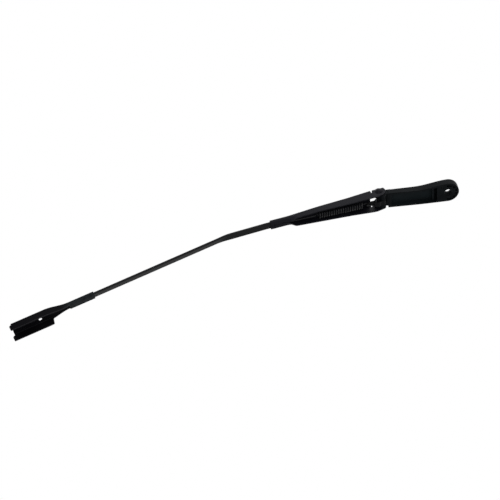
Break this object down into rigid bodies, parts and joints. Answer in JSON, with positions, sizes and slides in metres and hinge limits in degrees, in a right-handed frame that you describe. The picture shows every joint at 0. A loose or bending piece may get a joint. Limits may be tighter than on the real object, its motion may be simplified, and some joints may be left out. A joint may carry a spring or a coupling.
{
  "type": "wiper arm",
  "caption": "Sprung windscreen wiper arm: hollow cast head with a tapered spindle seat, hinged folded channel, bent flat bar and a folded end bracket for the blade.",
  "frame": {"origin": "on the spindle axis, in the plane on which the nut seats in the head", "axes": "+Z along the spindle away from the glass, +X from the spindle towards the blade end, in the attitude in which it is mounted"},
  "size_m": [0.5885, 0.0583, 0.1298],
  "materials": {
    "cast_black": "satin black coat over die casting",
    "bush_plastic": "moulded",
    "pin_steel": "dark oiled steel",
    "rivet_black": "satin black coat",
    "link_steel": "phosphated and coated steel strip",
    "spring_wire": "coated spring wire",
    "sheet_black": "satin black coat over folded sheet",
    "bar_black": "satin black coat over flat bar",
    "bracket_black": "satin black coat over folded sheet"
  },
  "bodies": {
    "head": {"head": "cast_black", "bush_left": "bush_plastic", "bush_right": "bush_plastic", "spring_pin": "pin_steel"},
    "link": {"spring_link": "link_steel"},
    "arm": {"retainer": "sheet_black", "pivot_rivet": "rivet_black", "arm_bar": "bar_black", "blade_bracket": "bracket_black", "tension_spring": "spring_wire"}
  },
  "joints": [
    {"name": "arm_fold", "type": "hinge", "parent": "head", "child": "arm", "pos_m": [0.0895, 0, -0.0004], "axis": [0, -1, 0], "range_deg": [0, 78], "stiffness_Nm_per_rad": 0.5, "springref_deg": -171.89, "deforming": ["tension_spring"]},
    {"name": "link_swing", "type": "hinge", "parent": "head", "child": "link", "pos_m": [0.0852, 0, -0.00654], "axis": [0, -1, 0], "range_deg": [0, 56.1]}
  ],
  "couplings": [
    {"joint": "link_swing", "follows": "arm_fold", "ratio": 0.718}
  ]
}
